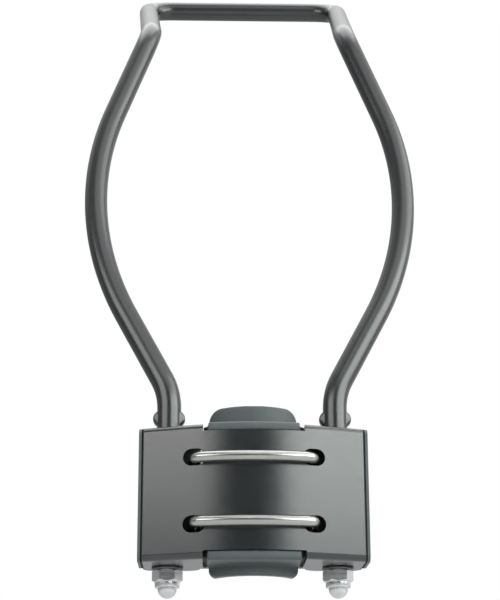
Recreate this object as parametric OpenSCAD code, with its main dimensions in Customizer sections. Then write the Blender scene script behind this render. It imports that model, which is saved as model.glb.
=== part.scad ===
// Child seat mounting bracket: a pressed steel block that two U-bolts clamp to
// a bicycle's seat tube, and a bent steel rod, the carrier bow, that rises
// from the block and leans back to carry the seat.
// The seat tube's axis is Z, the front of the block faces -Y, and the origin
// lies on the tube's axis at the block's middle height.

/* [Seat tube] */
// Diameter of the seat tube that the clamp is drawn closed on
tube_d = 35.4; // [30:0.1:38]
// Thickness of the saddle pad's wall behind the seat tube's surface
pad_wall = 3.8; // [3:0.1:5]

/* [Pressed housing] */
// Width of the pressed housing between its two end caps
housing_w = 90.6; // [84:0.2:112]
// Height of the housing over its top and bottom flanges
housing_h = 55; // [50:0.5:70]
// Distance from the tube's axis to the foremost line of the front plate
front_out = 31; // [29:0.5:36]
// Outside radius of the curved middle of the front plate
front_r = 90; // [72:1:120]
// Angle by which the flat wings of the front plate fall back
wing_angle = 19; // [15.5:0.5:22]
// Distance from the tube's axis back to the flanges' rear edge
flange_back = 7; // [5:0.5:12]
// Thickness of the steel sheet
sheet_t = 2; // [1.5:0.1:2.5]
// Outside radius of the bends between plate and flanges
fold_r = 2.6; // [2.6:0.1:4]
// Radius of the flanges' rear corners
rear_corner_r = 5; // [2:0.5:7]
// Radius of the corners where the flanges' rear edge meets the tube's recess
mouth_r = 6; // [2:0.5:8]
// Width of the notches that the pad's lips fill
notch_w = 41.4; // [38:0.2:42]
// Height of front plate that each notch takes away
notch_depth = 3.2; // [2.8:0.1:4]
// Radius of the notches' inner corners
notch_r = 1.2; // [0.8:0.1:2]

/* [End caps] */
// Thickness of the end caps' plates
cap_t = 1.7; // [1.2:0.1:2.4]
// Radius of the end caps' rear corners
cap_corner_r = 3; // [2:0.1:4]
// Wall of the rim that plugs into the housing
cap_rim_t = 1.5; // [1:0.1:2]
// Thickness of the rear walls that reach in behind the legs
cap_wall_t = 3; // [2:0.1:3]

/* [Saddle pad] */
// Angle from straight ahead to the side edges of the pad's tongues
tongue_angle = 58; // [50:1:62]
// Angle from straight ahead to the side edges of the saddle between the flanges
saddle_angle = 74; // [66:1:78]
// Height of the upper tongue above the top flange
tongue_up = 9.2; // [6:0.2:12]
// Length of the lower tongue below the bottom flange
tongue_down = 5.6; // [4:0.2:9]
// Corner radius of the upper tongue
tongue_up_r = 5; // [2:0.5:6]
// Corner radius of the lower tongue
tongue_down_r = 3.2; // [2:0.1:4]
// Width of the lips that lie in the notches
lip_w = 37.2; // [32:0.2:37.4]
// Height by which the lips stand proud of the flanges
lip_proud = 0.6; // [0.4:0.1:1.6]
// Distance that the lips stay behind the plate's front face
lip_back = 0.5; // [0.2:0.1:1]
// Depth below the flanges' faces of the shoulders that fill the notches beside the lips
shoulder_drop = 0.7; // [0.4:0.1:1.4]
// Distance that the shoulders stay behind the plate's front face
shoulder_back = 3; // [2.6:0.1:5]

/* [Carrier bow] */
// Diameter of the coated steel rod
rod_d = 10.2; // [8:0.1:11]
// Distance of the bow's legs from the ends of the pressed housing
leg_inset = 10.1; // [9.8:0.1:12.6]
// Distance of the legs in front of the tube's axis
leg_front = 2; // [1:0.5:4]
// Height over the ears of the knee where the legs turn outward and back
knee_up = 11.7; // [10.8:0.1:20]
// Bend radius at the knees
knee_r = 27; // [20:1:30]
// Angle by which the widening part of the bow leans back
lean = 12.8; // [8:0.2:16]
// Half width at which the widening and the closing runs would meet
bulge_x = 82; // [74:0.2:90]
// Height at which those runs would meet
bulge_z = 136.8; // [134:0.2:160]
// Bend radius through the widest part
bulge_r = 145; // [96:1:148]
// Half width at the elbows
elbow_x = 47.2; // [44:0.2:54]
// Height of the elbows
elbow_z = 240; // [234:1:268]
// Bend radius of the elbows
elbow_r = 26; // [20:1:30]
// Half width of the bow at the corners of its crossbar
bar_x = 54; // [48:0.5:62]
// Distance of the crossbar behind the tube's axis
bar_back = 155; // [140:1:186]
// Height of the crossbar
bar_z = 316; // [300:1:350]
// Bend radius of the crossbar's corners
bar_r = 14; // [12:0.5:18]

/* [Bow fixing] */
// Width over the ears that stand out on either side of each leg
ear_w = 13.6; // [12.6:0.1:15]
// Radius of each ear's outline
ear_r = 3.4; // [2.6:0.1:4]
// Height of the ears' middle over the top flange
ear_up = 8; // [4.2:0.1:9]
// Thickness of the ears from front to back
ear_t = 4.4; // [3:0.1:6]
// Outside diameter of the legs' threaded ends
stud_d = 6.9; // [6:0.1:7.2]
// Width across flats of the dome nuts
dome_nut_af = 11; // [10.6:0.1:13]
// Height of the dome nuts' hexagon
dome_nut_hex_h = 4.9; // [4:0.1:6.5]
// Overall height of the dome nuts
dome_nut_h = 11.6; // [10.5:0.1:13]
// Diameter of the dome
dome_d = 7.9; // [7.6:0.1:9.4]
// Thickness of the washers under the dome nuts
leg_washer_t = 1; // [0.8:0.1:1.6]
// Outside diameter of those washers
leg_washer_d = 13; // [12.6:0.2:16]

/* [U-bolts] */
// Diameter of the U-bolts' plain crown
ubolt_d = 4.5; // [4:0.1:5]
// Outside diameter of their threaded legs
ubolt_thread_d = 4.9; // [4.2:0.1:5.4]
// Distance between the two legs of a U-bolt
ubolt_pitch = 48.4; // [47:0.2:52]
// Height of the U-bolts above and below the block's middle
ubolt_row = 13; // [11:0.2:15]
// Bend radius at the ends of the crown
ubolt_r = 5; // [4:0.2:6]
// Length of thread left free behind the clamp nuts
ubolt_spare = 7; // [6:0.5:14]
// Width of the slots in the front plate
slot_w = 9.2; // [7.6:0.1:9.4]
// Height of the slots in the front plate
slot_h = 7; // [6.2:0.1:8]
// Distance of the slots' middle beyond the U-bolts, away from the block's middle
slot_drop = 0.6; // [0:0.1:0.8]

/* [Rear jaw] */
// Width of the rear jaw
jaw_w = 64; // [60:0.5:78]
// Height of the rear jaw
jaw_h = 46; // [44:0.5:56]
// Thickness of the rear jaw's sheet
jaw_t = 2.5; // [2:0.1:3]
// Depth of the rear jaw's turned flanges
jaw_flange = 8; // [7:0.5:12]
// Outside radius of its bends
jaw_fold_r = 4; // [3.2:0.1:4.4]
// Least thickness of the pad between the tube and the jaw
jaw_pad_wall = 3.6; // [3:0.1:5]
// Width of the rear jaw's pad
jaw_pad_w = 39; // [34:0.5:39.6]
// Distance from the tube's axis back to the edges of that pad
jaw_pad_front = 8.5; // [8:0.5:11]
// Diameter of the pegs that hold the pad to the jaw
peg_d = 5; // [4:0.2:6]
// Width across flats of the clamp nuts
clamp_nut_af = 8; // [7.4:0.1:8.4]
// Height of the clamp nuts over their locking collar
clamp_nut_h = 5; // [4.5:0.1:6]
// Diameter of the clamp washers
clamp_washer_d = 10; // [9:0.1:10.4]
// Thickness of the clamp washers
clamp_washer_t = 1; // [0.8:0.1:1.4]

/* [Hidden] */
$fn = 64;

// Clearances
slide_gap = 0.3;
thread_gap = 0.05;
rim_gap = 0.05;
pad_gap = 0.2;
rod_hole_gap = 0.25;

// A bend comes out this much thinner than the rod or sheet it is bent from
bend_draw = 0.02;
// Length by which a bend bites into the straight stretches beside it
bend_bite = 0.1;

// Worked out sizes of the housing
half_h = housing_h / 2;
half_w = housing_w / 2;
front_y = -front_out;
plate_axis_y = front_y + front_r;
wing_start = [front_r * sin(wing_angle), plate_axis_y - front_r * cos(wing_angle)];
section_deep = front_out + flange_back + 4;
wing_len = (half_w - wing_start.x + section_deep * sin(wing_angle)) / cos(wing_angle) + 2;
tube_r = tube_d / 2;
saddle_r = tube_r + pad_wall;
recess_r = saddle_r + pad_gap;
mouth_y = flange_back - mouth_r;
mouth_x = sqrt(pow(recess_r + mouth_r, 2) - mouth_y * mouth_y);
function plate_y(x) = x < wing_start.x
    ? plate_axis_y - sqrt(front_r * front_r - x * x)
    : wing_start.y + (x - wing_start.x) * tan(wing_angle);

// Worked out sizes of the bow
leg_x = half_w - leg_inset;
rod_r = rod_d / 2;
shoulder_z = sheet_t - half_h;
ear_z = half_h + ear_up;
knee_z = ear_z + knee_up;
function leaning_y(z) = (z - knee_z) * tan(lean) - leg_front;
bow_right = [
    [leg_x, -leg_front, shoulder_z],
    [leg_x, -leg_front, knee_z],
    [bulge_x, leaning_y(bulge_z), bulge_z],
    [elbow_x, leaning_y(elbow_z), elbow_z],
    [bar_x, bar_back, bar_z]
];
bow_left = [for (i = [len(bow_right) - 1 : -1 : 0]) let (p = bow_right[i]) [-p.x, p.y, p.z]];
bow_points = concat(bow_right, bow_left);
bend_right = [0, knee_r, bulge_r, elbow_r, bar_r];
bow_bends = concat(bend_right, [for (i = [len(bend_right) - 1 : -1 : 0]) bend_right[i]]);
nut_seat_z = -half_h - leg_washer_t;
stud_r = stud_d / 2;
dome_ring_r = dome_d / 2 + 1.2;
dome_ring_z = nut_seat_z - dome_nut_hex_h;
dome_ring_h = 2.4;
dome_wall = 0.8;
nylon_h = 2;
nylon_r = dome_ring_r - 0.7;
stud_bottom_z = dome_ring_z - nylon_h + 0.2;

// Worked out sizes of the end caps
cap_rear_y = flange_back - rear_corner_r;
cap_rim = leg_inset - rod_r - slide_gap;
cap_wall_y = rod_r - leg_front + slide_gap;
cap_wall_h = housing_h - 2 * (sheet_t + rim_gap);

// Worked out sizes of the U-bolts and the rear jaw
ubolt_x = ubolt_pitch / 2;
ubolt_rest_r = ubolt_d / 2;
ubolt_thread_r = ubolt_thread_d / 2;
crown_r = front_r + ubolt_rest_r + 0.1;
crown_bend_x = ubolt_x - ubolt_r;
crown_bend_y = plate_axis_y - sqrt(pow(crown_r - ubolt_r, 2) - crown_bend_x * crown_bend_x);
crown_half_angle = asin(crown_bend_x / (crown_r - ubolt_r));
jaw_front_y = tube_r + jaw_pad_wall;
jaw_back_y = jaw_front_y + jaw_t;
clamp_nut_y = jaw_back_y + clamp_washer_t;
ubolt_end_y = clamp_nut_y + clamp_nut_h + ubolt_spare;
thread_start_y = front_y + front_r - sqrt(pow(front_r, 2) - pow(ubolt_x, 2)) + 1;
clamp_collar_h = 1.3;
jaw_pad_h = jaw_h - 5;
peg_z = jaw_pad_h / 2 - 8;
peg_head_t = 1.6;

// Vector helpers for the bent rod
function unit(v) = v / norm(v);
function toward(a, b) = unit(b - a);
function turn_angle(u, v) = acos(u * v);
function tangent_len(u, v, r) = r * tan(turn_angle(u, v) / 2);

// A straight stretch of round rod between two points
module rod_run(a, b, r) {
    d = b - a;
    translate(a)
        rotate([0, acos(d.z / norm(d)), atan2(d.y, d.x)])
            cylinder(r = r, h = norm(d));
}

// The bend of a rod at corner p, between the directions u and v
module rod_bend(p, u, v, bend, r) {
    inward = unit(v - (u * v) * u);
    start = p - u * tangent_len(u, v, bend);
    middle = start + inward * bend;
    axis = cross(u, inward);
    bite = bend_bite / bend * 180 / PI;
    multmatrix([
        [-inward.x, u.x, axis.x, middle.x],
        [-inward.y, u.y, axis.y, middle.y],
        [-inward.z, u.z, axis.z, middle.z],
        [0, 0, 0, 1]
    ])
        rotate([0, 0, -bite])
            rotate_extrude(angle = turn_angle(u, v) + 2 * bite)
                translate([bend, 0])
                    circle(r - bend_draw);
}

// A round rod bent through a list of corners, each with its own bend radius
module bent_rod(points, bends, r) {
    last = len(points) - 1;
    dirs = [for (i = [0 : last - 1]) toward(points[i], points[i + 1])];
    cut = [for (i = [0 : last])
        i == 0 || i == last ? 0 : tangent_len(dirs[i - 1], dirs[i], bends[i])];
    for (i = [0 : last - 1])
        rod_run(points[i] + dirs[i] * cut[i], points[i + 1] - dirs[i] * cut[i + 1], r);
    for (i = [1 : last - 1])
        rod_bend(points[i], dirs[i - 1], dirs[i], bends[i], r);
}

// A rectangle with rounded corners, its corner radius kept true
module round_rect(w, h, r) {
    square([w - 2 * r, h], center = true);
    square([w, h - 2 * r], center = true);
    for (x = [-1, 1], y = [-1, 1])
        translate([x * (w / 2 - r), y * (h / 2 - r)])
            circle(r);
}

// The housing's section, with depth behind the front face along x, and with
// the sheet drawn thinner by an inset on either face
module c_section(inset = 0) {
    difference() {
        translate([section_deep, 0])
            round_rect(2 * (section_deep - inset), housing_h - 2 * inset, fold_r - inset);
        translate([section_deep, 0])
            round_rect(
                2 * (section_deep - sheet_t + inset),
                housing_h - 2 * (sheet_t - inset),
                fold_r - sheet_t + inset
            );
        translate([section_deep, -housing_h])
            square([2 * section_deep, 2 * housing_h]);
    }
}

// Sweeps a section along the front plate's curved middle
module along_middle() {
    translate([0, plate_axis_y, 0])
        rotate([0, 0, 270 - wing_angle])
            rotate_extrude(angle = 2 * wing_angle, $fn = 180)
                translate([front_r, 0])
                    mirror([1, 0])
                        children();
}

// Sweeps a section along one straight wing of the front plate
module along_wing(side) {
    mirror([side < 0 ? 1 : 0, 0, 0])
        translate([wing_start.x, wing_start.y, 0])
            rotate([90, 0, 90 + wing_angle])
                translate([0, 0, -bend_bite])
                    linear_extrude(wing_len)
                        children();
}

// Plan of the flanges: round rear corners, and a recess with a rounded mouth
module flange_plan() {
    difference() {
        translate([0, flange_back - front_out])
            round_rect(housing_w, 2 * front_out, rear_corner_r);
        circle(recess_r);
        difference() {
            translate([-mouth_x, mouth_y + 0.5])
                square([2 * mouth_x, mouth_r + 1]);
            for (side = [-1, 1])
                translate([side * mouth_x, mouth_y])
                    circle(mouth_r);
        }
        translate([-notch_w / 2, -2 * front_out])
            square([notch_w, 2 * front_out - saddle_r * cos(saddle_angle)]);
    }
}

// An obround hole that runs back through the front plate
module plate_slot(x, z) {
    translate([x, -section_deep, z])
        rotate([-90, 0, 0])
            linear_extrude(section_deep) {
                square([slot_w - slot_h, slot_h], center = true);
                for (s = [-1, 1])
                    translate([s * (slot_w - slot_h) / 2, 0])
                        circle(slot_h / 2);
            }
}

// A notch for the pad's lip, cut through the fold and the edge of the plate
module plate_notch(side) {
    depth = notch_depth + 1;
    translate([0, -2 * section_deep, side * (half_h - notch_depth + depth)])
        rotate([-90, 0, 0])
            linear_extrude(2 * section_deep)
                round_rect(notch_w, 2 * depth, notch_r);
}

module pressed_housing() {
    color([0.2, 0.21, 0.2])
        difference() {
            intersection() {
                union() {
                    along_middle() c_section();
                    along_wing(-1) c_section(bend_draw);
                    along_wing(1) c_section(bend_draw);
                }
                union() {
                    translate([0, 0, -half_h - 1])
                        linear_extrude(housing_h + 2)
                            flange_plan();
                    translate([-notch_w / 2 - 1, -2 * front_out, notch_depth - half_h])
                        cube([notch_w + 2, 2 * front_out - recess_r, housing_h - 2 * notch_depth]);
                }
            }
            for (side = [-1, 1]) {
                for (row = [-1, 1])
                    plate_slot(side * ubolt_x, row * (ubolt_row + slot_drop));
                translate([side * leg_x, -leg_front, 0])
                    cylinder(r = rod_r + rod_hole_gap, h = housing_h);
                translate([side * leg_x, -leg_front, -housing_h])
                    cylinder(r = stud_d / 2 + rod_hole_gap, h = housing_h);
            }
        }
}

// A pair of ears, round in outline, one on either side of a leg
module ear_pair() {
    for (side = [-1, 1])
        translate([side * (ear_w / 2 - ear_r), ear_t / 2, ear_z])
            rotate([90, 0, 0])
                cylinder(r = ear_r, h = ear_t);
}

module carrier_bow() {
    color([0.16, 0.16, 0.16])
        union() {
            bent_rod(bow_points, bow_bends, rod_r);
            for (side = [-1, 1])
                translate([side * leg_x, -leg_front, 0]) {
                    ear_pair();
                    translate([0, 0, stud_bottom_z + 0.6])
                        cylinder(r = stud_r, h = shoulder_z - stud_bottom_z);
                    translate([0, 0, stud_bottom_z])
                        cylinder(r1 = stud_r - 0.6, r2 = stud_r, h = 0.6);
                }
        }
}

// The space inside the housing's wing, drawn in by a gap on every side
module wing_space(gap) {
    along_wing(1)
        translate([sheet_t + gap + section_deep / 2, 0])
            round_rect(section_deep, housing_h - 2 * (sheet_t + gap), fold_r - sheet_t);
}

// An end cap: a plate over the housing's end, and a rim that plugs into it
module end_cap(side) {
    front = plate_y(half_w + cap_t);
    deep = cap_rear_y - front;
    mirror([side < 0 ? 1 : 0, 0, 0])
        color([0.43, 0.47, 0.49]) {
            translate([half_w, front + deep / 2, 0])
                rotate([90, 0, 90])
                    linear_extrude(cap_t)
                        round_rect(deep, housing_h, cap_corner_r);
            intersection() {
                difference() {
                    wing_space(rim_gap);
                    wing_space(rim_gap + cap_rim_t);
                }
                translate([half_w - cap_rim, -section_deep, -half_h])
                    cube([cap_rim + cap_t / 2, section_deep + cap_rear_y - cap_rim_t / 2, housing_h]);
            }
            translate([half_w - cap_rim, cap_rear_y - 2 * cap_rim_t, -cap_wall_h / 2])
                cube([cap_rim + cap_t / 2, cap_rim_t, cap_wall_h]);
            translate([half_w - cap_rim, cap_rear_y - 2 * cap_rim_t, -cap_wall_h / 2])
                cube([cap_rim / 2, cap_wall_y - cap_rear_y + 2 * cap_rim_t + 1, cap_wall_h]);
            cap_rear_wall();
        }
}

// The wall that closes the housing behind a leg, notched for the U-bolts
module cap_rear_wall() {
    clear_r = ubolt_thread_r + slide_gap;
    difference() {
        translate([recess_r, cap_wall_y, -cap_wall_h / 2])
            cube([half_w - cap_rim / 2 - recess_r, cap_wall_t, cap_wall_h]);
        for (row = [-1, 1])
            translate([ubolt_x, cap_wall_y - 1, row * ubolt_row])
                rotate([-90, 0, 0]) {
                    cylinder(r = clear_r, h = cap_wall_t + 2);
                    translate([-ubolt_x, -clear_r, 0])
                        cube([ubolt_x, 2 * clear_r, cap_wall_t + 2]);
                }
    }
}

module end_cap_left() end_cap(-1);

module end_cap_right() end_cap(1);

// Plan of the saddle's curved wall, out to an angle on either side
module saddle_arc(angle) {
    difference() {
        intersection() {
            circle(saddle_r);
            polygon([
                [0, 0],
                [-2 * saddle_r * sin(angle), -2 * saddle_r * cos(angle)],
                [-2 * saddle_r * sin(angle), -3 * saddle_r],
                [2 * saddle_r * sin(angle), -3 * saddle_r],
                [2 * saddle_r * sin(angle), -2 * saddle_r * cos(angle)]
            ]);
        }
        circle(tube_r);
    }
}

// Front view of the tongues, the upper and the lower with their own corners
module tongue_outline(w) {
    translate([0, tongue_up])
        round_rect(w, housing_h, tongue_up_r);
    translate([0, -tongue_down])
        round_rect(w, housing_h, tongue_down_r);
}

// A block of the pad that follows the front plate from behind, cut to a width
// and to a flat rear face
module pad_block(w, h, behind, rear_y) {
    intersection() {
        translate([0, plate_axis_y, 0])
            rotate([0, 0, 270 - wing_angle])
                rotate_extrude(angle = 2 * wing_angle)
                    translate([front_r - behind - front_out / 2, 0])
                        round_rect(front_out, h, 1.4);
        translate([-w / 2, rear_y - 2 * front_out, -housing_h])
            cube([w, 2 * front_out, 2 * housing_h]);
    }
}

// The pad: a curved saddle for the tube, a core behind the front plate with
// shoulders and lips that lie in the notches, and tongues above and below
module saddle_pad() {
    tongue_w = 2 * saddle_r * sin(tongue_angle);
    lip_half_h = half_h + lip_proud;
    core_h = housing_h - 2 * notch_depth + 2 * pad_gap;
    color([0.3, 0.34, 0.36])
        difference() {
            union() {
                intersection() {
                    translate([0, 0, -housing_h])
                        linear_extrude(2 * housing_h)
                            saddle_arc(tongue_angle + 4);
                    rotate([90, 0, 0])
                        linear_extrude(saddle_r)
                            tongue_outline(tongue_w);
                }
                translate([0, 0, -lip_half_h])
                    linear_extrude(2 * lip_half_h)
                        saddle_arc(saddle_angle);
                pad_block(lip_w, 2 * lip_half_h, lip_back, -tube_r / 2);
                pad_block(
                    notch_w - 2 * pad_gap,
                    housing_h - 2 * shoulder_drop,
                    shoulder_back,
                    -tube_r / 2 - 1
                );
            }
            translate([0, 0, -housing_h])
                cylinder(r = tube_r, h = 2 * housing_h);
            translate([0, plate_axis_y, -core_h / 2])
                rotate([0, 0, 270 - wing_angle])
                    rotate_extrude(angle = 2 * wing_angle)
                        translate([front_r - sheet_t - pad_gap, 0])
                            square([2 * sheet_t, core_h]);
        }
}

// A flat washer that lies on the plane z = 0 and rises by t
module washer(outer_d, bore_d, t) {
    difference() {
        cylinder(r = outer_d / 2, h = t);
        translate([0, 0, -1])
            cylinder(r = bore_d / 2, h = t + 2);
    }
}

// A hexagon with its corners chamfered at both ends
module hexagon(af, h) {
    corner = af / 2 / cos(30);
    edge = af / 2 - 0.15;
    drop = (corner - edge) * 0.5;
    intersection() {
        cylinder(r = corner, h = h, $fn = 6);
        rotate_extrude()
            polygon([
                [0, 0],
                [edge, 0],
                [corner, drop],
                [corner, h - drop],
                [edge, h],
                [0, h]
            ]);
    }
}

module leg_washer(side) {
    color([0.3, 0.31, 0.3])
        translate([side * leg_x, -leg_front, nut_seat_z])
            washer(leg_washer_d, stud_d + 2 * rod_hole_gap, leg_washer_t);
}

module leg_washer_left() leg_washer(-1);

module leg_washer_right() leg_washer(1);

// A lock nut with a closed dome, its hexagon up against the washer
module dome_nut(side) {
    color([0.72, 0.74, 0.74])
        translate([side * leg_x, -leg_front, 0])
            difference() {
                union() {
                    translate([0, 0, dome_ring_z])
                        hexagon(dome_nut_af, dome_nut_hex_h);
                    translate([0, 0, dome_ring_z - dome_ring_h])
                        cylinder(r = dome_ring_r, h = dome_ring_h + 0.5);
                    intersection() {
                        translate([0, 0, nut_seat_z - dome_nut_h + dome_d / 2])
                            sphere(r = dome_d / 2);
                        translate([-dome_d, -dome_d, nut_seat_z - 2 * dome_nut_h])
                            cube([2 * dome_d, 2 * dome_d, 2 * dome_nut_h - dome_nut_hex_h - 1]);
                    }
                }
                translate([0, 0, dome_ring_z])
                    cylinder(r = stud_r + thread_gap, h = dome_nut_hex_h + 1);
                translate([0, 0, dome_ring_z - nylon_h])
                    cylinder(r = nylon_r + thread_gap, h = nylon_h);
                translate([0, 0, nut_seat_z - dome_nut_h + dome_d / 2])
                    sphere(r = dome_d / 2 - dome_wall);
            }
}

module dome_nut_left() dome_nut(-1);

module dome_nut_right() dome_nut(1);

// The locking ring that the dome nut holds round the end of the thread
module nylon_ring(side) {
    color([0.85, 0.85, 0.82])
        translate([side * leg_x, -leg_front, dome_ring_z - nylon_h])
            washer(2 * nylon_r, stud_d + 2 * thread_gap, nylon_h);
}

module nylon_ring_left() nylon_ring(-1);

module nylon_ring_right() nylon_ring(1);

// A U-bolt: a crown that follows the front plate, two bends and two legs
module u_bolt(row) {
    bite = bend_bite / ubolt_r * 180 / PI;
    color([0.8, 0.81, 0.82])
        translate([0, 0, row * ubolt_row]) {
            translate([0, plate_axis_y, 0])
                rotate([0, 0, 270 - crown_half_angle])
                    rotate_extrude(angle = 2 * crown_half_angle)
                        translate([crown_r, 0])
                            circle(ubolt_rest_r);
            for (side = [-1, 1])
                mirror([side < 0 ? 1 : 0, 0, 0]) {
                    translate([crown_bend_x, crown_bend_y, 0])
                        rotate([0, 0, 270 + crown_half_angle - bite])
                            rotate_extrude(angle = 90 - crown_half_angle + 2 * bite)
                                translate([ubolt_r, 0])
                                    circle(ubolt_rest_r - bend_draw);
                    translate([ubolt_x, crown_bend_y, 0])
                        rotate([-90, 0, 0])
                            cylinder(r = ubolt_rest_r, h = thread_start_y - crown_bend_y + 1);
                    translate([ubolt_x, thread_start_y, 0])
                        rotate([-90, 0, 0])
                            cylinder(r = ubolt_thread_r, h = ubolt_end_y - thread_start_y - 0.5);
                    translate([ubolt_x, ubolt_end_y - 0.5, 0])
                        rotate([-90, 0, 0])
                            cylinder(r1 = ubolt_thread_r, r2 = ubolt_thread_r - 0.5, h = 0.5);
                }
        }
}

module u_bolt_upper() u_bolt(1);

module u_bolt_lower() u_bolt(-1);

// The rear jaw: a flat plate with its top and bottom edges turned back
module rear_jaw() {
    deep = jaw_t + jaw_flange;
    color([0.2, 0.21, 0.2])
        difference() {
            intersection() {
                translate([-jaw_w / 2, jaw_front_y + deep, 0])
                    rotate([90, 0, 90])
                        linear_extrude(jaw_w)
                            difference() {
                                round_rect(2 * deep, jaw_h, jaw_fold_r);
                                round_rect(2 * (deep - jaw_t), jaw_h - 2 * jaw_t, jaw_fold_r - jaw_t);
                            }
                translate([0, jaw_front_y, -jaw_h])
                    linear_extrude(2 * jaw_h)
                        round_rect(jaw_w, 2 * deep, jaw_fold_r);
                translate([-jaw_w, jaw_front_y, -jaw_h])
                    cube([2 * jaw_w, deep, 2 * jaw_h]);
            }
            for (side = [-1, 1], row = [-1, 1])
                translate([side * ubolt_x, jaw_front_y - 1, row * ubolt_row])
                    rotate([-90, 0, 0])
                        cylinder(r = ubolt_thread_r + slide_gap, h = jaw_t + 2);
            for (row = [-1, 1])
                translate([0, jaw_front_y - 1, row * peg_z])
                    rotate([-90, 0, 0])
                        cylinder(r = peg_d / 2 + thread_gap, h = jaw_t + 2);
        }
}

// The rear jaw's pad, hollowed for the tube, with two pegs headed over behind
module rear_jaw_pad() {
    pad_deep = jaw_front_y - jaw_pad_front;
    color([0.3, 0.34, 0.36]) {
        difference() {
            translate([0, jaw_pad_front + pad_deep / 2, -jaw_pad_h / 2])
                linear_extrude(jaw_pad_h)
                    round_rect(jaw_pad_w, pad_deep, 1.5);
            translate([0, 0, -jaw_pad_h])
                cylinder(r = tube_r, h = 2 * jaw_pad_h);
        }
        for (row = [-1, 1])
            translate([0, jaw_front_y, row * peg_z])
                rotate([-90, 0, 0]) {
                    translate([0, 0, -1])
                        cylinder(r = peg_d / 2, h = jaw_t + 1.5);
                    translate([0, 0, jaw_t])
                        cylinder(r1 = peg_d / 2 + 1.2, r2 = peg_d / 2 - 0.4, h = peg_head_t);
                }
    }
}

module clamp_washer(side, row) {
    color([0.72, 0.74, 0.74])
        translate([side * ubolt_x, jaw_back_y, row * ubolt_row])
            rotate([-90, 0, 0])
                washer(clamp_washer_d, ubolt_thread_d + 2 * slide_gap, clamp_washer_t);
}

module clamp_washer_upper_left() clamp_washer(-1, 1);

module clamp_washer_upper_right() clamp_washer(1, 1);

module clamp_washer_lower_left() clamp_washer(-1, -1);

module clamp_washer_lower_right() clamp_washer(1, -1);

// A lock nut on a U-bolt's leg, its collar to the rear
module clamp_nut(side, row) {
    color([0.72, 0.74, 0.74])
        translate([side * ubolt_x, clamp_nut_y, row * ubolt_row])
            rotate([-90, 0, 0])
                difference() {
                    union() {
                        hexagon(clamp_nut_af, clamp_nut_h - clamp_collar_h);
                        cylinder(r = clamp_nut_af / 2 - 0.4, h = clamp_nut_h);
                    }
                    translate([0, 0, -1])
                        cylinder(r = ubolt_thread_r + thread_gap, h = clamp_nut_h + 2);
                }
}

module clamp_nut_upper_left() clamp_nut(-1, 1);

module clamp_nut_upper_right() clamp_nut(1, 1);

module clamp_nut_lower_left() clamp_nut(-1, -1);

module clamp_nut_lower_right() clamp_nut(1, -1);

carrier_bow();
pressed_housing();
end_cap_left();
end_cap_right();
saddle_pad();
leg_washer_left();
leg_washer_right();
dome_nut_left();
dome_nut_right();
nylon_ring_left();
nylon_ring_right();
u_bolt_upper();
u_bolt_lower();
rear_jaw();
rear_jaw_pad();
clamp_washer_upper_left();
clamp_washer_upper_right();
clamp_washer_lower_left();
clamp_washer_lower_right();
clamp_nut_upper_left();
clamp_nut_upper_right();
clamp_nut_lower_left();
clamp_nut_lower_right();
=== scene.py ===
import math
import bmesh
import bpy
import numpy as np
from mathutils import Matrix, Vector


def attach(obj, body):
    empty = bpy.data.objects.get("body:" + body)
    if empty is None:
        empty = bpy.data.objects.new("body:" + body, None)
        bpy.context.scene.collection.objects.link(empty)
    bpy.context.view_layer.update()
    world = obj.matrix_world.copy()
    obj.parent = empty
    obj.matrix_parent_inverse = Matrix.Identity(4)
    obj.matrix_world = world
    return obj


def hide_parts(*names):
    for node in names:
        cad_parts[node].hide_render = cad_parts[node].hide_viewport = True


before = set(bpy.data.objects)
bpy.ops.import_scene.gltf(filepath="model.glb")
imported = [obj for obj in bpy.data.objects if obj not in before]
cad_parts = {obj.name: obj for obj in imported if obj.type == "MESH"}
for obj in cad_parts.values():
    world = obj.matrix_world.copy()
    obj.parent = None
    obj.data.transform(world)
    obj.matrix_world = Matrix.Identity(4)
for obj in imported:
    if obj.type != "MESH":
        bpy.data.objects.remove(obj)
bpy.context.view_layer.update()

collection = bpy.context.scene.collection

# The camera stands in front of the block and below it and looks up by about
# 16 degrees through a 90 mm lens.
eye = Vector((-0.0185, -0.6202, -0.1169))
pitch, yaw, roll = (math.radians(degrees) for degrees in (16.12, 1.637, -0.216))
ahead = Vector(
    (math.sin(yaw) * math.cos(pitch), math.cos(yaw) * math.cos(pitch), math.sin(pitch))
)
level = Vector((math.cos(yaw), -math.sin(yaw), 0))
upright = level.cross(ahead)
rightward = level * math.cos(roll) + upright * math.sin(roll)
upward = upright * math.cos(roll) - level * math.sin(roll)
lens = bpy.data.cameras.new("camera")
lens.lens = 90
lens.sensor_width = 36
lens.shift_y = 0.1
lens.clip_start = 0.01
lens.clip_end = 50
camera = bpy.data.objects.new("camera", lens)
camera.matrix_world = Matrix((rightward, upward, -ahead)).transposed().to_4x4()
camera.matrix_world.translation = eye
collection.objects.link(camera)
bpy.context.scene.camera = camera
bpy.context.scene.view_settings.view_transform = "Standard"

# The carrier bow: one length of round steel rod, bent cold and powder coated
# satin black. Its legs run down through the block and end in threads; two
# round ears are forged out of each leg just above the top flange.
MM = 0.001
rod_r = 5.1
leg_x, leg_y, leg_top_z = 35.2, -2.0, 39.5
knee_z = 47.2
widest_x, widest_z = 82.0, 136.8
elbow_x, elbow_z = 47.2, 240.0
bar_half, bar_y, bar_z = 54.0, 155.0, 316.0
lean = math.tan(math.radians(12.8))
bend_radii = (27, 145, 26, 14)
shoulder_z = -25.5
shoulder_chamfer = 0.3
stud_r, stud_end_z = 3.45, -35.2
stud_pitch, stud_thread_depth, stud_run_out = 1.0, 0.5, 0.8
stud_chamfer = 0.6
flange_z = 27.5
ear_x, ear_z = 3.4, 35.5
ear_r, ear_half_t = 3.4, 2.2


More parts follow.
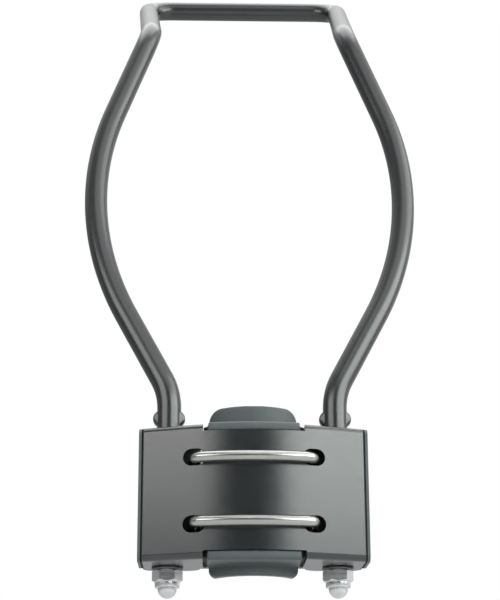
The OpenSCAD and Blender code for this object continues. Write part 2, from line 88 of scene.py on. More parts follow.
def bent_path(corners, radii, step):
    """Points along straight runs joined by arcs. An arc of radius r leaves
    its run r tan(half the turn) before the corner and is start + r sin(a) u +
    r (1 - cos(a)) w, with u the run's direction and w the unit vector across
    it towards the next run."""
    stretches = []
    here = corners[0]
    for before, corner, after, r in zip(corners[:-2], corners[1:-1], corners[2:], radii):
        u = (corner - before) / np.linalg.norm(corner - before)
        v = (after - corner) / np.linalg.norm(after - corner)
        turn = math.acos(float(u @ v))
        w = (v - (u @ v) * u) / math.sin(turn)
        start = corner - u * r * math.tan(turn / 2)
        count = max(2, round(np.linalg.norm(start - here) / step))
        along = np.linspace(0, 1, count, endpoint=False)[:, None]
        stretches.append(here + along * (start - here))
        a = np.linspace(0, turn, max(8, round(r * turn / step)), endpoint=False)[:, None]
        stretches.append(start + r * np.sin(a) * u + r * (1 - np.cos(a)) * w)
        here = corner + v * r * math.tan(turn / 2)
    count = max(2, round(np.linalg.norm(corners[-1] - here) / step))
    stretches.append(here + np.linspace(0, 1, count + 1)[:, None] * (corners[-1] - here))
    return np.concatenate(stretches)


def cross_frames(path, hint):
    """Two unit vectors across a path at each of its points: side, the cross
    product of tangent and hint, and up, that of side and tangent."""
    tangent = np.gradient(path, axis=0)
    tangent /= np.linalg.norm(tangent, axis=1)[:, None]
    side = np.cross(tangent, hint)
    side /= np.linalg.norm(side, axis=1)[:, None]
    return side, np.cross(side, tangent)


def swept(path, radius, angle, side, up):
    """The rings of points of a rod round a path: path + radius (cos(angle)
    side + sin(angle) up)."""
    across = np.cos(angle)[..., None] * side[:, None] + np.sin(angle)[..., None] * up[:, None]
    return path[:, None] + radius[..., None] * across


def thread(distance, angle, pitch, depth):
    """How far a screw thread lies below its crest: a wave of the distance
    along the screw less the share of a turn, times the pitch, with flat
    crests and roots."""
    flat = 0.12
    phase = np.mod(distance / pitch - angle / (2 * np.pi), 1)
    return depth * np.clip((np.abs(2 * phase - 1) - flat) / (1 - 2 * flat), 0, 1)


def skin(name, grid, look, ring=False):
    """A closed mesh in metres over a grid of points in millimetres, rows by
    columns, whose columns run round the piece. The first and last row close
    on their own middle point, or on each other in a ring. Where the volume
    comes out negative the faces are turned round. The UV map holds the
    distance along the piece and round it, in millimetres."""
    rows, cols = grid.shape[:2]
    points = grid.reshape(-1, 3)
    index = np.arange(rows * cols).reshape(rows, cols)
    girth = np.linalg.norm(np.diff(grid, axis=1), axis=2).sum(axis=1).mean()
    row_gaps = np.linalg.norm(np.diff(grid, axis=0), axis=2).mean(axis=1)
    far = np.arange(cols + 1) * girth / cols
    long = np.concatenate([[0], np.cumsum(row_gaps)])
    if ring:
        index = np.vstack([index, index[:1]])
        long = np.append(long, long[-1] + np.linalg.norm(grid[0] - grid[-1], axis=1).mean())
    beside = np.roll(index, -1, axis=1)
    faces = np.stack([index[:-1], beside[:-1], beside[1:], index[1:]], axis=-1).reshape(-1, 4)
    uv = np.stack(np.meshgrid(long, far, indexing="ij"), axis=-1)
    uvs = np.stack([uv[:-1, :-1], uv[:-1, 1:], uv[1:, 1:], uv[1:, :-1]], axis=2)
    uvs = uvs.reshape(-1, 4, 2)
    a, b, c, d = points[faces].transpose(1, 0, 2)
    volume = np.einsum("ij,ij->", a, np.cross(b, c) + np.cross(c, d))
    ends = np.zeros((0, 3), int)
    end_uvs = np.zeros((0, 3, 2))
    if not ring:
        first, last = len(points), len(points) + 1
        points = np.vstack([points, grid[0].mean(axis=0), grid[-1].mean(axis=0)])
        top = np.stack([beside[0], index[0], np.full(cols, first)], axis=-1)
        foot = np.stack([index[-1], beside[-1], np.full(cols, last)], axis=-1)
        ends = np.vstack([top, foot])
        top_uvs = np.stack([uv[0, 1:], uv[0, :-1], uv[0, :-1]], axis=1)
        foot_uvs = np.stack([uv[-1, :-1], uv[-1, 1:], uv[-1, 1:]], axis=1)
        end_uvs = np.concatenate([top_uvs, foot_uvs])
    if volume < 0:
        faces, uvs, ends, end_uvs = (part[:, ::-1] for part in (faces, uvs, ends, end_uvs))
    mesh = bpy.data.meshes.new(name)
    mesh.from_pydata((points * MM).tolist(), [], faces.tolist() + ends.tolist())
    layer = mesh.uv_layers.new(name="UVMap")
    all_uvs = np.concatenate([uvs.reshape(-1, 2), end_uvs.reshape(-1, 2)])
    layer.data.foreach_set("uv", all_uvs.ravel())
    mesh.polygons.foreach_set("use_smooth", np.ones(len(mesh.polygons), bool))
    mesh.materials.append(look)
    piece = bpy.data.objects.new(name, mesh)
    collection.objects.link(piece)
    return piece


def effect(name, inputs, outputs):
    """An empty node group with float inputs and the outputs that are named."""
    tree = bpy.data.node_groups.new(name, "ShaderNodeTree")
    for label, value in inputs.items():
        socket = tree.interface.new_socket(label, in_out="INPUT", socket_type="NodeSocketFloat")
        socket.default_value = value
    for label in outputs:
        tree.interface.new_socket(label, in_out="OUTPUT", socket_type="NodeSocketFloat")
    given = tree.nodes.new("NodeGroupInput").outputs
    return tree, given, tree.nodes.new("NodeGroupOutput").inputs


def add(tree, kind, values=None, **settings):
    """A node with its settings and the values or links of its inputs."""
    node = tree.nodes.new("ShaderNode" + kind)
    for key, value in settings.items():
        setattr(node, key, value)
    for key, value in (values or {}).items():
        if isinstance(value, bpy.types.NodeSocket):
            tree.links.new(value, node.inputs[key])
        else:
            node.inputs[key].default_value = value
    return node


def calc(tree, operation, *terms):
    """The output of one Math node, whose inputs are values or links."""
    return add(tree, "Math", dict(enumerate(terms)), operation=operation).outputs[0]


def ramp(tree, value, low=0.0, high=1.0, start=0.0, end=1.0):
    """The start where the value is low, the end where it is high, and a
    straight line between the two."""
    limits = {"From Min": low, "From Max": high, "To Min": start, "To Max": end}
    return add(tree, "MapRange", {"Value": value, **limits}).outputs[0]


def mixed(tree, share, first, second):
    """The first colour where the share is 0 and the second where it is 1,
    each a link or its red, green and blue."""
    a, b = (c if isinstance(c, bpy.types.NodeSocket) else (*c, 1) for c in (first, second))
    return add(tree, "Mix", {0: share, 6: a, 7: b}, data_type="RGBA").outputs[2]


# Grain: a fine pebbled height with a slow swell under it, and a blotchy tone.
grain, given, made = effect("grain", {"Per metre": 3000, "Swell": 0.3}, ("Height", "Tone"))
where = add(grain, "TexCoord").outputs["Object"]
pebbles = {"Vector": where, "Scale": given["Per metre"], "Detail": 2, "Roughness": 0.55}
fine = add(grain, "TexNoise", pebbles).outputs["Fac"]
wider = calc(grain, "MULTIPLY", given["Per metre"], 0.09)
broad = add(grain, "TexNoise", {"Vector": where, "Scale": wider, "Detail": 3}).outputs["Fac"]
lifted = calc(grain, "MULTIPLY", broad, given["Swell"])
grain.links.new(calc(grain, "ADD", fine, lifted), made["Height"])
grain.links.new(broad, made["Tone"])

# Edge wear: how far a surface bends outwards at this point, broken up by
# blotches, so that corners which hands and tools touch come out lighter.
wear, given, made = effect("edge_wear", {"From": 0.53, "To": 0.61, "Per metre": 400}, ("Mask",))
bend = add(wear, "NewGeometry").outputs["Pointiness"]
edge = ramp(wear, bend, given["From"], given["To"])
where = add(wear, "TexCoord").outputs["Object"]
blotch = add(wear, "TexNoise", {"Vector": where, "Scale": given["Per metre"], "Detail": 4})
broken = ramp(wear, blotch.outputs["Fac"], 0.35, 0.65)
wear.links.new(calc(wear, "MULTIPLY", edge, broken), made["Mask"])

# Joint dirt and painted shade: dark lines along two joints, each on both sides of the block's
# middle at a distance that is given in metres. The darkening stands partly for dirt in the joints
# and partly for painted shade in the seams and gaps there.
dirt_and_shade_colour = (0.004, 0.004, 0.004)
dirt_and_shade, given, made = effect("joint_dirt_and_shade", {"At": 0, "Also at": 0, "Reach": 0.0006}, ("Mask",))
across = add(dirt_and_shade, "SeparateXYZ", {0: add(dirt_and_shade, "TexCoord").outputs["Object"]}).outputs[0]
outward = calc(dirt_and_shade, "ABSOLUTE", across)
off = [calc(dirt_and_shade, "SUBTRACT", outward, given[at]) for at in ("At", "Also at")]
gaps = [calc(dirt_and_shade, "ABSOLUTE", distance) for distance in off]
share = calc(dirt_and_shade, "DIVIDE", calc(dirt_and_shade, "MINIMUM", *gaps), given["Reach"])
dirt_and_shade.links.new(ramp(dirt_and_shade, share, 0.6, 1.0, 1.0, 0.0), made["Mask"])


def finish(
    name, colour, rough, per_metre, swell, bump, spread=0.04,
    worn=None, wear_from=0.53, joints=None, reach=0.0006, plain=None,
):
    """A material whose colour and roughness drift with the grain's tone and
    whose surface is pebbled by the grain. Rubbed edges take the worn colour.
    Dirt and painted shade darken it and dull it within reach of the two joints. Plain values go
    on the shader's own sockets."""
    look = bpy.data.materials.new(name)
    look.use_nodes = True
    tree = look.node_tree
    shader = tree.nodes["Principled BSDF"]
    pebbled = add(tree, "Group", {"Per metre": per_metre, "Swell": swell}, node_tree=grain)
    tone = pebbled.outputs["Tone"]
    tint = mixed(tree, tone, [c * 0.86 for c in colour], [c * 1.14 for c in colour])
    gloss = ramp(tree, tone, start=rough - spread, end=rough + spread)
    if worn:
        edges = add(tree, "Group", {"From": wear_from, "To": wear_from + 0.08}, node_tree=wear)
        tint = mixed(tree, edges.outputs["Mask"], tint, worn)
    if joints:
        # Near the joints the colour goes dark, as dirt and as painted shade.
        places = {"At": joints[0], "Also at": joints[1], "Reach": reach}
        dirt_and_shade_mask = add(tree, "Group", places, node_tree=dirt_and_shade).outputs["Mask"]
        tint = mixed(tree, dirt_and_shade_mask, tint, dirt_and_shade_colour)
        gloss = calc(tree, "MAXIMUM", gloss, dirt_and_shade_mask)
    relief = {"Height": pebbled.outputs["Height"], "Strength": bump, "Distance": 0.00006}
    tree.links.new(tint, shader.inputs["Base Color"])
    tree.links.new(gloss, shader.inputs["Roughness"])
    tree.links.new(add(tree, "Bump", relief).outputs[0], shader.inputs["Normal"])
    for socket, value in (plain or {}).items():
        shader.inputs[socket].default_value = value
    return look


satin_coat = finish(
    "satin_coat", colour=(0.004, 0.0055, 0.0062), rough=0.29, spread=0.03,
    per_metre=3000, swell=0.4, bump=0.12, worn=(0.06, 0.063, 0.064), plain={"IOR": 1.7},
)

corners = np.array(
    [
        (leg_x, leg_y, leg_top_z),
        (leg_x, leg_y, knee_z),
        (widest_x, leg_y + (widest_z - knee_z) * lean, widest_z),
        (elbow_x, leg_y + (elbow_z - knee_z) * lean, elbow_z),
        (bar_half, bar_y, bar_z),
        (0, bar_y, bar_z),
    ]
)
# The legs' rows lie close together in the thread and at the ears, and in
# pairs where the rod steps in at the shoulder and comes out of the flange.
stud_rows = np.arange(stud_end_z, shoulder_z, step=0.13)
shoulder_rows = [shoulder_z - 0.01, shoulder_z, shoulder_z + shoulder_chamfer]
block_rows = np.arange(-24, 27, step=3.0)
flange_rows = [flange_z - 0.04, flange_z]
ear_rows = np.arange(flange_z + 0.25, leg_top_z - 0.2, step=0.25)
levels = np.concatenate([stud_rows, shoulder_rows, block_rows, flange_rows, ear_rows])
leg = (leg_x, leg_y, 0) + levels[:, None] * (0, 0, 1)
half = np.concatenate([leg, bent_path(corners, bend_radii, step=1.6)])
path = np.concatenate([half[:-1], half[::-1] * (-1, 1, 1)])
side, front = cross_frames(path, hint=(0, -0.83, 0.556))
# The columns are crowded to the left and right, where the ears stand out.
rod_columns, crowding = 64, 0.36
turn = np.arange(rod_columns) * 2 * np.pi / rod_columns
angle = (turn - crowding * np.sin(2 * turn))[None, :]
height = path[:, 2][:, None]
# At each height the ears are a flat bar across the leg, as long as a circle
# is wide there, with corners rounded as |x/a|^n + |y/b|^n = 1 rounds them. Rod
# and bar are joined as (rod^m + bar^m)^(1/m), which leaves a small fillet.
squareness, tightness = 7, 24
radius = np.full((len(path), rod_columns), rod_r)
ear_reach = ear_x + np.sqrt(np.clip(ear_r**2 - (height - ear_z) ** 2, 0, None))
lengthwise = np.abs(np.cos(angle) / ear_reach) ** squareness
crosswise = np.abs(np.sin(angle) / ear_half_t) ** squareness
ear = (lengthwise + crosswise) ** (-1 / squareness)
with_ears = (radius**tightness + ear**tightness) ** (1 / tightness)
radius = np.where(np.abs(height - ear_z) < ear_r, with_ears, radius)
runs_in = np.clip(shoulder_z - stud_run_out - height, 0, 1)
cut = stud_r - thread(height, angle, stud_pitch, stud_thread_depth) * runs_in
tip = stud_r - stud_chamfer + np.clip(height - stud_end_z, 0, stud_chamfer)
radius = np.where(height < shoulder_z - 0.005, np.minimum(cut, tip), radius)
radius = np.where(np.abs(height - shoulder_z) < 0.004, rod_r - shoulder_chamfer, radius)
bow = skin("carrier_rod", swept(path, radius, angle, side, front), satin_coat)
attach(bow, "block")
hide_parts("carrier_bow")

# The pressed housing: sheet steel cut, bowed across its front and folded top
# and bottom, with slots for the U-bolts and notches for the pad's lips, and
# powder coated with a fine grain.
cap_seam, notch_side = 0.0454, 0.0207
# At the caps' seam the coat is darkened: dirt in the joint and painted shade in the seam.
block_coat = finish(
    "block_coat", colour=(0.0045, 0.0065, 0.0075), rough=0.24, per_metre=2300, swell=0.35,
    bump=0.6, joints=(cap_seam, cap_seam), plain={"IOR": 1.75},
)
# The rounded edges' coat is much lighter than the plate's: partly a thin coat at the edges,
# partly a painted highlight along the rims of the slots, folds and notches.
thin_coat_and_highlight = {
    "colour": (0.06, 0.066, 0.064),
    "rough": 0.27,
    "per_metre": 3300,
    "swell": 0.35,
    "bump": 0.3,
    "plain": {"IOR": 1.75},
}
# Along the notches' sides the rounded edges are darkened: painted shade in the gap between the
# pad's lips and the notch.
edge_coat_and_highlight = finish("edge_coat_and_highlight", joints=(cap_seam, notch_side), **thin_coat_and_highlight)


def node_copy(node, name, look, merge=2e-6, join_flats=False):
    """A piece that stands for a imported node: a copy of its mesh with the
    doubled points merged, and with its flat areas joined into single faces
    where that is asked for."""
    work = bmesh.new()
    work.from_mesh(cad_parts[node].data)
    bmesh.ops.remove_doubles(work, verts=work.verts, dist=merge)
    if join_flats:
        bmesh.ops.dissolve_degenerate(work, dist=merge, edges=work.edges)
        flat = math.radians(1)
        bmesh.ops.dissolve_limit(work, angle_limit=flat, verts=work.verts, edges=work.edges)
    work.verts.index_update()
    faces = [[v.index for v in f.verts] for f in work.faces]
    mesh = bpy.data.meshes.new(name)
    mesh.from_pydata([v.co[:] for v in work.verts], [], faces)
    work.free()
    mesh.polygons.foreach_set("use_smooth", np.ones(len(mesh.polygons), bool))
    mesh.materials.append(look)
    piece = bpy.data.objects.new(name, mesh)
    collection.objects.link(piece)
    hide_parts(node)
    return piece


def softened(node, name, look, width, segments, edge_look=None, merge=2e-6):
    """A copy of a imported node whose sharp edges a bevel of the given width
    rounds over. The rounded edges may have a look of their own."""
    piece = node_copy(node, name, look, merge, join_flats=True)
    bevel = piece.modifiers.new("rounded edges", "BEVEL")
    bevel.width = width * MM
    bevel.segments = segments
    bevel.limit_method = "ANGLE"
    bevel.angle_limit = math.radians(32)
    bevel.miter_outer = "MITER_ARC"
    if edge_look:
        piece.data.materials.append(edge_look)
        bevel.material = 1
    welded = piece.modifiers.new("joined corners", "WELD")
    welded.merge_threshold = 2e-6
    evened = piece.modifiers.new("even shading", "WEIGHTED_NORMAL")
    evened.keep_sharp = True
    return piece


housing = softened(
    "pressed_housing", "housing_shell", block_coat, width=0.25, segments=2,
    edge_look=edge_coat_and_highlight, merge=3.5e-5,
)
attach(housing, "block")

# The end caps: grey plastic covers moulded with a rim that plugs into each
# end of the housing.
# The caps are darkened along the same seam: dirt in the joint and painted shade in the seam.
cap_plastic = finish(
    "cap_plastic", colour=(0.06, 0.075, 0.081), rough=0.48, per_metre=2200, swell=0.4,
    bump=0.4, joints=(cap_seam, cap_seam),
)
sides = {"left": -1, "right": 1}
for side_name in sides:
    node, name = "end_cap_" + side_name, "cap_" + side_name
    cap = softened(node, name, cap_plastic, width=0.4, segments=3)
    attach(cap, "block")

# The saddle pad: a soft dark rubber moulding that lines the block where it
# bears on the tube, with lips that fill the housing's notches.
# The rubber is darkened where the lips end beside the housing's notches: painted shade for the
# shaded gap there.
lip_end = 0.0198
soft_rubber = {
    "colour": (0.05, 0.061, 0.063),
    "rough": 0.6,
    "per_metre": 1800,
    "swell": 0.6,
    "bump": 0.55,
    "worn": (0.12, 0.14, 0.145),
    "wear_from": 0.56,
    "plain": {"Sheen Weight": 0.15, "Sheen Roughness": 0.4},
}
pad_rubber = finish("pad_rubber", joints=(lip_end, lip_end), reach=0.0012, **soft_rubber)


def moulded(node, name, look, voxel, rounds):
    """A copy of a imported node, remade as even small faces and then relaxed,
    which rounds its edges as a mould does."""
    piece = node_copy(node, name, look)
    even = piece.modifiers.new("even faces", "REMESH")
    even.mode = "VOXEL"
    even.voxel_size = voxel * MM
    even.use_smooth_shade = True
    relax = piece.modifiers.new("mould radii", "SMOOTH")
    relax.factor = 0.5
    relax.iterations = rounds
    return piece


pad = moulded("saddle_pad", "saddle_rubber", pad_rubber, voxel=0.5, rounds=6)
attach(pad, "block")

# The two U-bolts: bright zinc plated steel, each bent with a slight bow that
# follows the front plate, and rolled with a fine thread on both legs.
bolt_rows = {"upper": 13.0, "lower": -13.0}
bolt_x, bolt_end_y = 24.2, 36.8
bolt_r, bolt_thread_r = 2.25, 2.45
bolt_pitch, bolt_thread_depth = 0.8, 0.46
bolt_chamfer = 0.55
bolt_bend = 5.0
crown_r = 92.35
plate_axis_y = 59.0
bend_x = bolt_x - bolt_bend
crown_half = math.asin(bend_x / (crown_r - bolt_bend))
bend_y = plate_axis_y - (crown_r - bolt_bend) * math.cos(crown_half)

# Drawn marks: streaks that run along a wire or round a turned piece, from the
# piece's own map, stretched by how many of them there are to a millimetre.
drawn, given, made = effect("drawn_marks", {"Along": 0.12, "Round": 4.0}, ("Streak", "Cloud"))
spot = add(drawn, "SeparateXYZ", {0: add(drawn, "UVMap", uv_map="UVMap").outputs[0]}).outputs
stretched = {
    0: calc(drawn, "MULTIPLY", spot[0], given["Along"]),
    1: calc(drawn, "MULTIPLY", spot[1], given["Round"]),
}
spot = add(drawn, "CombineXYZ", stretched).outputs[0]
lines = add(drawn, "TexNoise", {"Vector": spot, "Scale": 1.0, "Detail": 4, "Roughness": 0.6})
where = add(drawn, "TexCoord").outputs["Object"]
clouds = add(drawn, "TexNoise", {"Vector": where, "Scale": 320, "Detail": 3})
drawn.links.new(lines.outputs["Fac"], made["Streak"])
drawn.links.new(clouds.outputs["Fac"], made["Cloud"])


def plated(name, low, high, rough, along, across):
    """Zinc plate: metal whose tint drifts between two colours in clouds and
    whose roughness and height follow the drawn marks."""
    look = bpy.data.materials.new(name)
    look.use_nodes = True
    tree = look.node_tree
    shader = tree.nodes["Principled BSDF"]
    marks = add(tree, "Group", {"Along": along, "Round": across}, node_tree=drawn)
    streak = marks.outputs["Streak"]
    tint = mixed(tree, marks.outputs["Cloud"], low, high)
    gloss = ramp(tree, streak, start=rough - 0.1, end=rough + 0.12)
    relief = add(tree, "Bump", {"Height": streak, "Strength": 0.12, "Distance": 0.00004})
    tree.links.new(tint, shader.inputs["Base Color"])
    tree.links.new(gloss, shader.inputs["Roughness"])
    tree.links.new(relief.outputs[0], shader.inputs["Normal"])
    shader.inputs["Metallic"].default_value = 1.0
    return look


bolt_zinc = plated(
    "bolt_zinc", low=(0.34, 0.35, 0.35), high=(0.46, 0.45, 0.42), rough=0.22,
    along=0.1, across=3.0,
)

# The path runs forward along one leg, round its bend and along the crown to
# the middle, and back the same way on the other side.
leg_line = np.arange(bolt_end_y, bend_y + 0.06, step=-0.125)
a = np.linspace(0, math.pi / 2 - crown_half, 16, endpoint=False)
b = np.linspace(crown_half, 0, 24)
half = np.concatenate(
    [
        np.stack([np.full(len(leg_line), bolt_x), leg_line, 0 * leg_line], axis=1),
        np.stack([bend_x + bolt_bend * np.cos(a), bend_y - bolt_bend * np.sin(a), 0 * a], axis=1),
        np.stack([crown_r * np.sin(b), plate_axis_y - crown_r * np.cos(b), 0 * b], axis=1),
    ]
)
path = np.concatenate([half, half[-2::-1] * (-1, 1, 1)])
side, up = cross_frames(path, hint=(0, 0, 1))
bolt_columns = 28
angle = np.arange(bolt_columns)[None, :] * 2 * np.pi / bolt_columns
along = path[:, 1][:, None]
bolt_plain, bolt_run_out, bolt_tip = 0.4, 1.2, 0.6
in_thread = np.clip((along - bend_y - bolt_plain) / bolt_run_out, 0, 1)
cut = thread(along, angle, bolt_pitch, bolt_thread_depth)
radius = bolt_r + (bolt_thread_r - bolt_r) * in_thread - cut * in_thread
tip = bolt_thread_r - bolt_chamfer + np.clip(bolt_end_y - along, 0, bolt_tip)
radius = np.minimum(radius, np.where(along > bolt_end_y - bolt_tip, tip, bolt_thread_r))
wire = swept(path, radius, angle, side, up)
for row_name, row_z in bolt_rows.items():
    bolt = skin("u_bolt_wire_" + row_name, wire + (0, 0, row_z), bolt_zinc)
    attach(bolt, "block")
    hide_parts("u_bolt_" + row_name)

# The dome nuts and their washers: zinc plated steel lock nuts whose domes are
# turned in one with a collar, each run up the leg's thread against a thin
# dark washer under the block.
nut_zinc = plated(
    "nut_zinc", low=(0.5, 0.51, 0.53), high=(0.7, 0.7, 0.69), rough=0.26,
    along=3.0, across=0.12,
)
washer_zinc = plated(
    "washer_zinc", low=(0.12, 0.12, 0.12), high=(0.2, 0.195, 0.19), rough=0.35,
    along=2.0, across=0.1,
)


def turned(centre, axis, profile, flats=None, columns=96):
    """The profile's radius and height, row by row, turned about an axis
    through the centre. Rows marked in flats are held inside a hexagon: their
    radius is the lesser of the profile's and half the width across flats
    over the cosine of the angle from the nearest flat's middle."""
    profile = np.asarray(profile, float)
    a = np.arange(columns) * 2 * np.pi / columns
    reach = np.repeat(profile[:, :1], columns, axis=1)
    if flats:
        rows, across = flats
        off = np.mod(a, np.pi / 3) - np.pi / 6
        hexagon = across / 2 / np.cos(off)
        reach[rows] = np.minimum(reach[rows], hexagon[None, :])
    if axis == "z":
        away = np.stack([np.cos(a), np.sin(a), 0 * a], axis=1)
        up = np.array((0, 0, 1.0))
    else:
        away = np.stack([np.cos(a), 0 * a, -np.sin(a)], axis=1)
        up = np.array((0, 1.0, 0))
    return np.asarray(centre) + reach[..., None] * away[None] + profile[:, 1, None, None] * up


# The dome nut's profile in millimetres, from its seat at height 0 downwards.
# It runs up inside the dome, the locking ring's groove and the bore, and down
# outside by the seat, the hexagon with both its chamfers, the collar and the
# dome.
nut_seat_z = -28.5
nut_af, nut_h, hex_h = 11.0, 11.6, 4.9
bore_r, groove_r, mouth_r = 3.5, 4.5, 3.1
groove_end = -hex_h - 2.05
dome_r, collar_r = 3.95, 5.15
collar_end = -hex_h - 2.4
dome_centre = -nut_h + dome_r
flat_r = nut_af / 2
corner = flat_r / math.cos(math.pi / 6)
t = np.linspace(0, 1, 7)
arc = np.linspace(0.12, math.pi / 2, 14)
profile = np.concatenate(
    [
        [(0.3, dome_centre - 3.0), (2.2, dome_centre - 2.2), (mouth_r, collar_end)],
        [(mouth_r, groove_end), (groove_r, groove_end), (groove_r, -hex_h + 0.05)],
        [(bore_r, -hex_h + 0.05), (bore_r, -0.35), (bore_r + 0.25, 0)],
        [(flat_r - 0.2, 0), (flat_r - 0.1, -0.05)],
        np.stack([flat_r + (corner - flat_r) * t, -0.05 - 0.55 * t], axis=1),
        [(corner, -1.2), (corner, -2.4)],
        np.stack([corner - (corner - flat_r + 0.05) * t, -hex_h + 0.7 - 0.7 * t], axis=1),
        [(collar_r + 0.1, -hex_h - 0.06), (collar_r, -hex_h - 0.2)],
        [(collar_r, collar_end + 0.5), (collar_r - 0.1, collar_end + 0.18)],
        [(collar_r - 0.4, collar_end + 0.02), (dome_r + 0.25, collar_end)],
        [(dome_r + 0.04, collar_end - 0.12)],
        np.stack([dome_r * np.cos(arc), dome_centre - dome_r * np.sin(arc)], axis=1)[:-1],
        [(0.12, -nut_h + 0.001)],
    ]
)
in_hexagon = (profile[:, 1] <= -0.04) & (profile[:, 1] >= -hex_h - 0.001)
hex_rows = (profile[:, 0] >= flat_r - 0.06) & in_hexagon
for side_name, sign in sides.items():
    grid = turned((sign * leg_x, leg_y, nut_seat_z), "z", profile, (hex_rows, nut_af))
    nut = skin("dome_lock_nut_" + side_name, grid, nut_zinc)
    nut.data.set_sharp_from_angle(angle=math.radians(28))
    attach(nut, "block")
    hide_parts("dome_nut_" + side_name)


def washer_rows(inner, outer, thick):
    """A washer's section, run round from its bore: rounded on the punched
    side and with a slight burr on the other."""
    return [
        (inner, 0.15),
        (inner, thick - 0.1),
        (inner + 0.08, thick),
        (outer - 0.2, thick),
        (outer - 0.05, thick - 0.07),
        (outer, thick - 0.22),
        (outer, 0.1),
        (outer - 0.05, 0.0),
        (outer - 0.3, 0.03),
        (inner + 0.25, 0.03),
        (inner + 0.1, 0.04),
    ]


thin_rows = washer_rows(inner=3.7, outer=6.5, thick=1.0)
for side_name, sign in sides.items():
    grid = turned((sign * leg_x, leg_y, nut_seat_z), "z", thin_rows, columns=64)
    ring = skin("thin_washer_" + side_name, grid, washer_zinc, ring=True)
    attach(ring, "block")
    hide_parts("leg_washer_" + side_name)

# The locking rings inside the dome nuts: natural nylon, pressed in and out of
# sight once the nuts are on.
nylon = finish(
    "nylon", colour=(0.72, 0.72, 0.68), rough=0.45, per_metre=1500, swell=0.5, bump=0.2,
    worn=(0.78, 0.78, 0.74), plain={"Subsurface Weight": 0.1},
)
for side_name in sides:
    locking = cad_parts["nylon_ring_" + side_name]
    locking.data.materials.clear()
    locking.data.materials.append(nylon)

# The rear jaw: thicker steel sheet with both long edges folded back, drawn up
# the U-bolts' threads against the tube, and powder coated like the housing.
# The jaw's rounded edges take the same lighter colour: thin coat and painted highlight.
jaw_edge_coat_and_highlight = finish("jaw_edge_coat_and_highlight", **thin_coat_and_highlight)
jaw = softened(
    "rear_jaw", "jaw_plate", block_coat, width=0.3, segments=2, edge_look=jaw_edge_coat_and_highlight
)
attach(jaw, "jaw")

# The rear jaw's pad: the same rubber, hollowed to the tube and held by two
# moulded pegs that are pulled through the jaw.
jaw_rubber = finish("jaw_rubber", **soft_rubber)
jaw_pad = moulded("rear_jaw_pad", "jaw_rubber_pad", jaw_rubber, voxel=0.45, rounds=5)
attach(jaw_pad, "jaw")

# The clamp nuts and washers: zinc plated lock nuts with a nylon ring rolled
# into their collar, one on each leg of the U-bolts.
jaw_back_y, washer_t = 23.8, 1.0
clamp_af, clamp_h, clamp_hex_h = 8.0, 5.0, 3.7
clamp_collar_r, clamp_bore = 3.6, 2.5
insert_r, insert_y = 2.8, clamp_h - 0.9

# The clamp nut's profile in millimetres, heights up from its washer: the
# seat, the hexagon with both its chamfers, the collar rolled over the nylon,
# the groove that holds it and the bore.
flat_r = clamp_af / 2
corner = flat_r / math.cos(math.pi / 6)
profile = np.concatenate(
    [
        [(clamp_bore + 0.25, 0.0), (flat_r - 0.2, 0.0), (flat_r - 0.1, 0.04)],
        np.stack([flat_r + (corner - flat_r) * t, 0.04 + 0.4 * t], axis=1),
        [(corner, 1.2), (corner, 2.4)],
        np.stack([corner - (corner - flat_r + 0.05) * t, clamp_hex_h - 0.5 + 0.5 * t], axis=1),
        [(clamp_collar_r + 0.12, clamp_hex_h + 0.05), (clamp_collar_r, clamp_hex_h + 0.2)],
        [(clamp_collar_r, clamp_h - 0.5), (3.5, clamp_h - 0.2), (3.3, clamp_h - 0.03)],
        [(3.1, clamp_h), (2.95, clamp_h - 0.12), (2.95, clamp_h - 0.35), (3.1, clamp_h - 0.4)],
        [(3.1, clamp_h - 1.4), (clamp_bore, clamp_h - 1.5), (clamp_bore, 0.25)],
    ]
)
in_hexagon = (profile[:, 1] >= 0.03) & (profile[:, 1] <= clamp_hex_h + 0.001)
hex_rows = (profile[:, 0] >= flat_r - 0.06) & in_hexagon
flat_rows = washer_rows(inner=2.75, outer=5.0, thick=washer_t)
a = np.linspace(0, 2 * np.pi, 12, endpoint=False)
insert_rows = np.stack([insert_r + 0.28 * np.cos(a), insert_y + 0.45 * np.sin(a)], axis=1)
for row_name, row_z in bolt_rows.items():
    for side_name, sign in sides.items():
        tail = row_name + "_" + side_name
        grid = turned((sign * bolt_x, jaw_back_y, row_z), "y", flat_rows, columns=64)
        ring = skin("flat_washer_" + tail, grid, nut_zinc, ring=True)
        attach(ring, "jaw")
        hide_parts("clamp_washer_" + tail)
        seat = (sign * bolt_x, jaw_back_y + washer_t, row_z)
        grid = turned(seat, "y", profile, (hex_rows, clamp_af))
        nut = skin("lock_nut_" + tail, grid, nut_zinc, ring=True)
        nut.data.set_sharp_from_angle(angle=math.radians(28))
        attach(nut, "jaw")
        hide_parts("clamp_nut_" + tail)
        grid = turned(seat, "y", insert_rows, columns=48)
        insert = skin("nut_insert_" + tail, grid, nylon, ring=True)
        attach(insert, "jaw")

# The studio: white paper below and behind, a wide softbox at each side of the
# camera, two upper lamps for the plate's fold and the arms, and one overhead.


def softbox(name, azimuth, height, distance, size, power, colour=(1, 1, 1), aim=(0, 0, 0.08)):
    """An area lamp at an angle to the side of straight ahead of the block."""
    data = bpy.data.lights.new(name, "AREA")
    data.shape = "RECTANGLE"
    data.size, data.size_y = size
    data.energy = power
    data.color = colour
    lamp = bpy.data.objects.new(name, data)
    a = math.radians(azimuth)
    lamp.location = (distance * math.sin(a), -distance * math.cos(a), height)
    lamp.rotation_euler = (Vector(aim) - lamp.location).to_track_quat("-Z", "Y").to_euler()
    collection.objects.link(lamp)


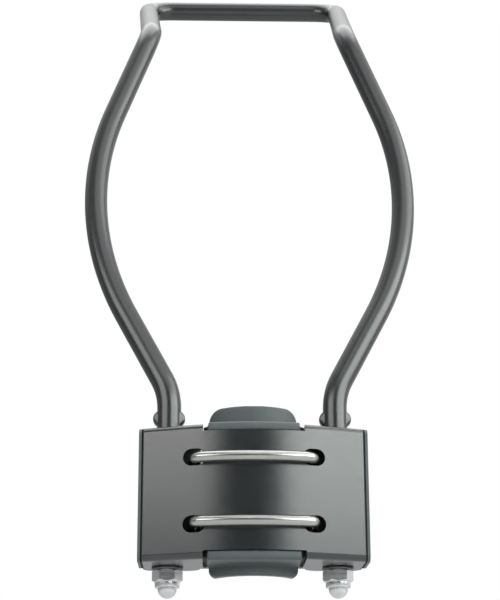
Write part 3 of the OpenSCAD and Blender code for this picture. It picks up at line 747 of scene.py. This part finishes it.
softbox("left_softbox", -44, 0.42, 1.1, size=(1.0, 0.46), power=5.5, colour=(1, 1, 0.985))
softbox("right_softbox", 53, 0.4, 1.1, size=(1.55, 0.54), power=15.0, colour=(0.94, 1.0, 0.965))
softbox("overhead", 180, 1.45, 0.45, size=(1.4, 1.3), power=13.0, aim=(0, 0.4, 0))
softbox("upper_front", 22, 1.2, 1.05, size=(1.5, 0.6), power=3.8)
softbox("upper_right", 80, 0.95, 1.05, size=(1.05, 0.6), power=5.2)

# The paper is mottled and keeps the object's shadow near it. Further off, the
# camera sees it as plain white, so that it runs into the white behind it.
floor_half, floor_z = 3.0, -0.17
signs = ((-1, -1), (1, -1), (1, 1), (-1, 1))
edge_points = [(x * floor_half, y * floor_half, floor_z) for x, y in signs]
floor_mesh = bpy.data.meshes.new("floor")
floor_mesh.from_pydata(edge_points, [], [(0, 1, 2, 3)])
paper = bpy.data.materials.new("white_paper")
paper.use_nodes = True
tree = paper.node_tree
shader = tree.nodes["Principled BSDF"]
mottle = add(tree, "TexNoise", {"Scale": 60}).outputs["Fac"]
tree.links.new(ramp(tree, mottle, start=0.5, end=0.54), shader.inputs["Base Color"])
shader.inputs["Roughness"].default_value = 0.9
where = add(tree, "TexCoord").outputs["Object"]
away = add(tree, "VectorMath", {0: where}, operation="LENGTH").outputs["Value"]
camera_ray = add(tree, "LightPath").outputs["Is Camera Ray"]
far_off = calc(tree, "MULTIPLY", ramp(tree, away, 0.5, 1.6), camera_ray)
plain_white = add(tree, "Emission", {"Color": (1, 1, 1, 1), "Strength": 1.0}).outputs[0]
sweep = add(tree, "MixShader", {0: far_off, 1: shader.outputs[0], 2: plain_white})
tree.links.new(sweep.outputs[0], tree.nodes["Material Output"].inputs[0])
floor_mesh.materials.append(paper)
floor = bpy.data.objects.new("floor", floor_mesh)
collection.objects.link(floor)

# The room: dim grey as a light, white to the camera, and in what the coating
# and the zinc mirror white behind, to the right and straight above.
world = bpy.data.worlds.new("studio")
bpy.context.scene.world = world
world.use_nodes = True
tree = world.node_tree
rays = add(tree, "LightPath").outputs
shiny = calc(tree, "MAXIMUM", rays["Is Glossy Ray"], rays["Is Transmission Ray"])
heading = add(tree, "SeparateXYZ", {0: add(tree, "TexCoord").outputs["Generated"]}).outputs
to_right = ramp(tree, heading[0], -0.6, 0.6, start=0.3)
behind = ramp(tree, heading[1], -0.45, 0.25)
high = ramp(tree, heading[2], 0.3, 0.65)
above = ramp(tree, heading[2], 0.35, 0.95)
zenith = ramp(tree, heading[2], 0.72, 0.92)
lit_back = calc(tree, "MULTIPLY", behind, calc(tree, "MAXIMUM", high, to_right))
lit_top = calc(tree, "MAXIMUM", zenith, calc(tree, "MULTIPLY", above, to_right))
mirrored = calc(tree, "MULTIPLY", shiny, calc(tree, "MAXIMUM", lit_back, lit_top))
seen = calc(tree, "MAXIMUM", rays["Is Camera Ray"], mirrored)
dim = tree.nodes["Background"]
dim.inputs["Color"].default_value = (0.5, 0.51, 0.52, 1)
tree.links.new(ramp(tree, shiny, start=1.4, end=0.26), dim.inputs["Strength"])
white = add(tree, "Background", {"Color": (1, 1, 1, 1)})
sky = add(tree, "MixShader", {0: seen, 1: dim.outputs[0], 2: white.outputs[0]})
tree.links.new(sky.outputs[0], tree.nodes["World Output"].inputs[0])
